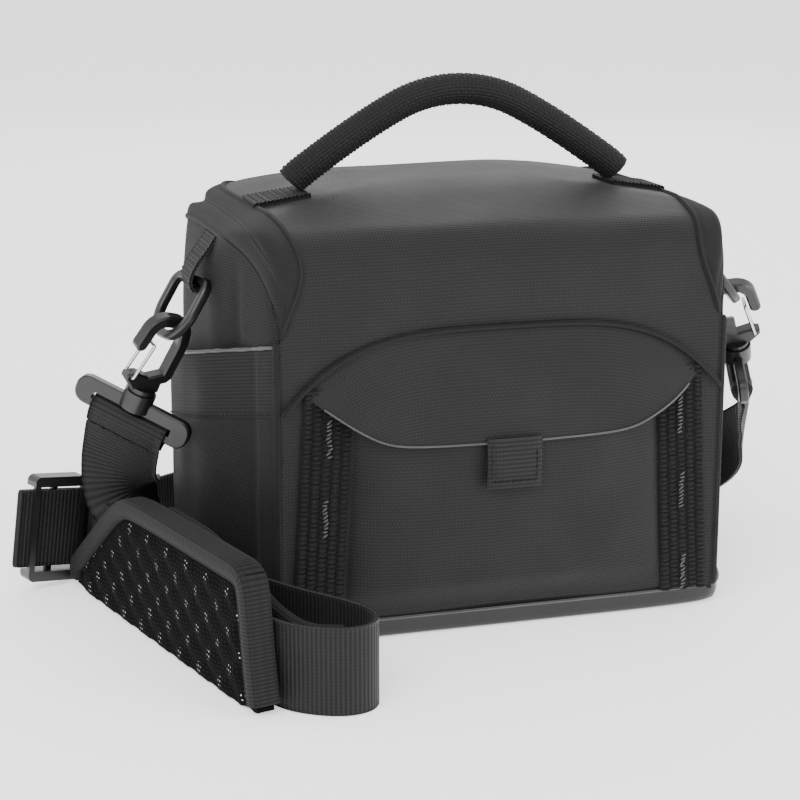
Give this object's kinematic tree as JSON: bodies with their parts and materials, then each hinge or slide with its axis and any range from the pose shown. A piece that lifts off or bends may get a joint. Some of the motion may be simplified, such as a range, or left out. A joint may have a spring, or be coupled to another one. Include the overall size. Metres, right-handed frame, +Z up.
{
  "type": "camera bag",
  "caption": "Small padded shoulder bag for a camera, with a front-hinged zipped lid, flap pocket, side pockets, carry handle and clip-on padded strap.",
  "frame": {"origin": "middle of the bag's flat base, on the surface it stands on", "axes": "+X to the right seen from the front, -Y out of the front face, +Z up"},
  "size_m": [0.395, 0.2629, 0.2462],
  "materials": {
    "coated_fabric": "smooth coated twill, low sheen",
    "body_weave": "coarse plain-weave nylon",
    "webbing": "ribbed webbing",
    "lining": "brushed tricot over foam",
    "zipper_tape": "herringbone zipper tape",
    "piping": "corded binding",
    "pad_mesh": "air mesh",
    "pad_fabric": "plain nylon",
    "black_plastic": "satin moulded",
    "board": "stiffener board",
    "gate_wire": "polished wire",
    "zipper_metal": "black enamel"
  },
  "bodies": {
    "root": {"back_panel": "body_weave", "base_board": "board", "base_panel": "coated_fabric", "clip_bar_left": "black_plastic", "clip_bar_right": "black_plastic", "flap_piping": "piping", "flap_yoke": "coated_fabric", "foam_back": "lining", "foam_floor": "lining", "foam_front": "lining", "foam_left": "lining", "foam_right": "lining", "front_panel": "coated_fabric", "front_pocket": "coated_fabric", "left_side_panel": "body_weave", "pad_cover": "pad_fabric", "pad_cushion": "pad_mesh", "right_side_panel": "body_weave", "ring_tab_left": "webbing", "ring_tab_right": "webbing", "side_hem_left": "webbing", "side_hem_right": "webbing", "side_pocket_left": "body_weave", "side_pocket_right": "body_weave", "strap_back": "webbing", "strap_bow": "webbing", "strap_inner": "webbing", "strap_left": "webbing", "strap_right": "webbing", "web_loop_left": "webbing", "web_loop_right": "webbing", "webbing_ladder_left": "webbing", "webbing_ladder_right": "webbing", "zipper_coil": "black_plastic", "zipper_tape_body": "zipper_tape"},
    "lid": {"lid_shell": "coated_fabric", "lid_foam": "lining", "zipper_tape_lid": "zipper_tape", "handle_end_left": "webbing", "handle_end_right": "webbing"},
    "handle": {"handle_grip": "webbing"},
    "flap": {"front_flap": "coated_fabric", "pull_tab": "webbing"},
    "ring_left": {"d_ring_left": "black_plastic"},
    "hook_left_body": {"hook_left": "black_plastic"},
    "gate_left_body": {"gate_left": "gate_wire"},
    "divider_left_body": {"divider_left": "lining"},
    "zipper_slider_left_body": {"zipper_slider_left": "zipper_metal"},
    "zipper_pull_left_body": {"zipper_pull_left": "zipper_metal"},
    "ring_right": {"d_ring_right": "black_plastic"},
    "hook_right_body": {"hook_right": "black_plastic"},
    "gate_right_body": {"gate_right": "gate_wire"},
    "divider_right_body": {"divider_right": "lining"},
    "zipper_slider_right_body": {"zipper_slider_right": "zipper_metal"},
    "zipper_pull_right_body": {"zipper_pull_right": "zipper_metal"},
    "adjuster": {"strap_slider": "black_plastic"}
  },
  "joints": [
    {"name": "lid_hinge", "type": "hinge", "parent": "root", "child": "lid", "pos_m": [0, -0.077, 0.15], "axis": [1, 0, 0], "range_deg": [0, 115]},
    {"name": "handle_fold", "type": "hinge", "parent": "lid", "child": "handle", "pos_m": [0, 0, 0.2009], "axis": [1, 0, 0], "range_deg": [-40, 40]},
    {"name": "flap_fold", "type": "hinge", "parent": "root", "child": "flap", "pos_m": [0, -0.085, 0.118], "axis": [-1, 0, 0], "range_deg": [0, 100]},
    {"name": "adjuster_slide", "type": "slide", "parent": "root", "child": "adjuster", "axis": [0.9233, 0.3579, -0.1393], "range_m": [-0.004, 0.002]},
    {"name": "ring_swing_left", "type": "hinge", "parent": "root", "child": "ring_left", "pos_m": [-0.1269, 0, 0.156], "axis": [0.2516, -0.9678, 0], "range_deg": [-3, 3]},
    {"name": "hook_swivel_left", "type": "hinge", "parent": "root", "child": "hook_left_body", "pos_m": [-0.15599, 0.0066, 0.0937], "axis": [0.3351, -0.2501, 0.9084], "range_deg": [-8, 8]},
    {"name": "gate_spring_left", "type": "hinge", "parent": "hook_left_body", "child": "gate_left_body", "pos_m": [-0.1582, -0.00124, 0.11328], "axis": [-0.2368, 0.9108, 0.3381], "range_deg": [0, 16], "stiffness_Nm_per_rad": 0.02, "springref_deg": -5.73},
    {"name": "divider_shift_left", "type": "slide", "parent": "root", "child": "divider_left_body", "axis": [1, 0, 0], "range_m": [-0.015, 0.015]},
    {"name": "zipper_run_left", "type": "slide", "parent": "root", "child": "zipper_slider_left_body", "axis": [1, 0, 0], "range_m": [-0.075, 0]},
    {"name": "zipper_pull_left", "type": "hinge", "parent": "zipper_slider_left_body", "child": "zipper_pull_left_body", "pos_m": [-0.009, 0.0878, 0.176], "axis": [1, 0, 0], "range_deg": [0, 75]},
    {"name": "ring_swing_right", "type": "hinge", "parent": "root", "child": "ring_right", "pos_m": [0.1269, 0, 0.156], "axis": [-0.2516, -0.9678, 0], "range_deg": [-3, 0]},
    {"name": "hook_swivel_right", "type": "hinge", "parent": "root", "child": "hook_right_body", "pos_m": [0.1557, 0.01284, 0.09688], "axis": [-0.2807, -0.4111, 0.8673], "range_deg": [-8, 8]},
    {"name": "gate_spring_right", "type": "hinge", "parent": "hook_right_body", "child": "gate_right_body", "pos_m": [0.15914, 0.00198, 0.11475], "axis": [-0.2214, -0.8515, -0.4753], "range_deg": [0, 16], "stiffness_Nm_per_rad": 0.02, "springref_deg": -5.73},
    {"name": "divider_shift_right", "type": "slide", "parent": "root", "child": "divider_right_body", "axis": [1, 0, 0], "range_m": [-0.015, 0.015]},
    {"name": "zipper_run_right", "type": "slide", "parent": "root", "child": "zipper_slider_right_body", "axis": [1, 0, 0], "range_m": [0, 0.075]},
    {"name": "zipper_pull_right", "type": "hinge", "parent": "zipper_slider_right_body", "child": "zipper_pull_right_body", "pos_m": [0.009, 0.0878, 0.176], "axis": [1, 0, 0], "range_deg": [0, 75]}
  ]
}
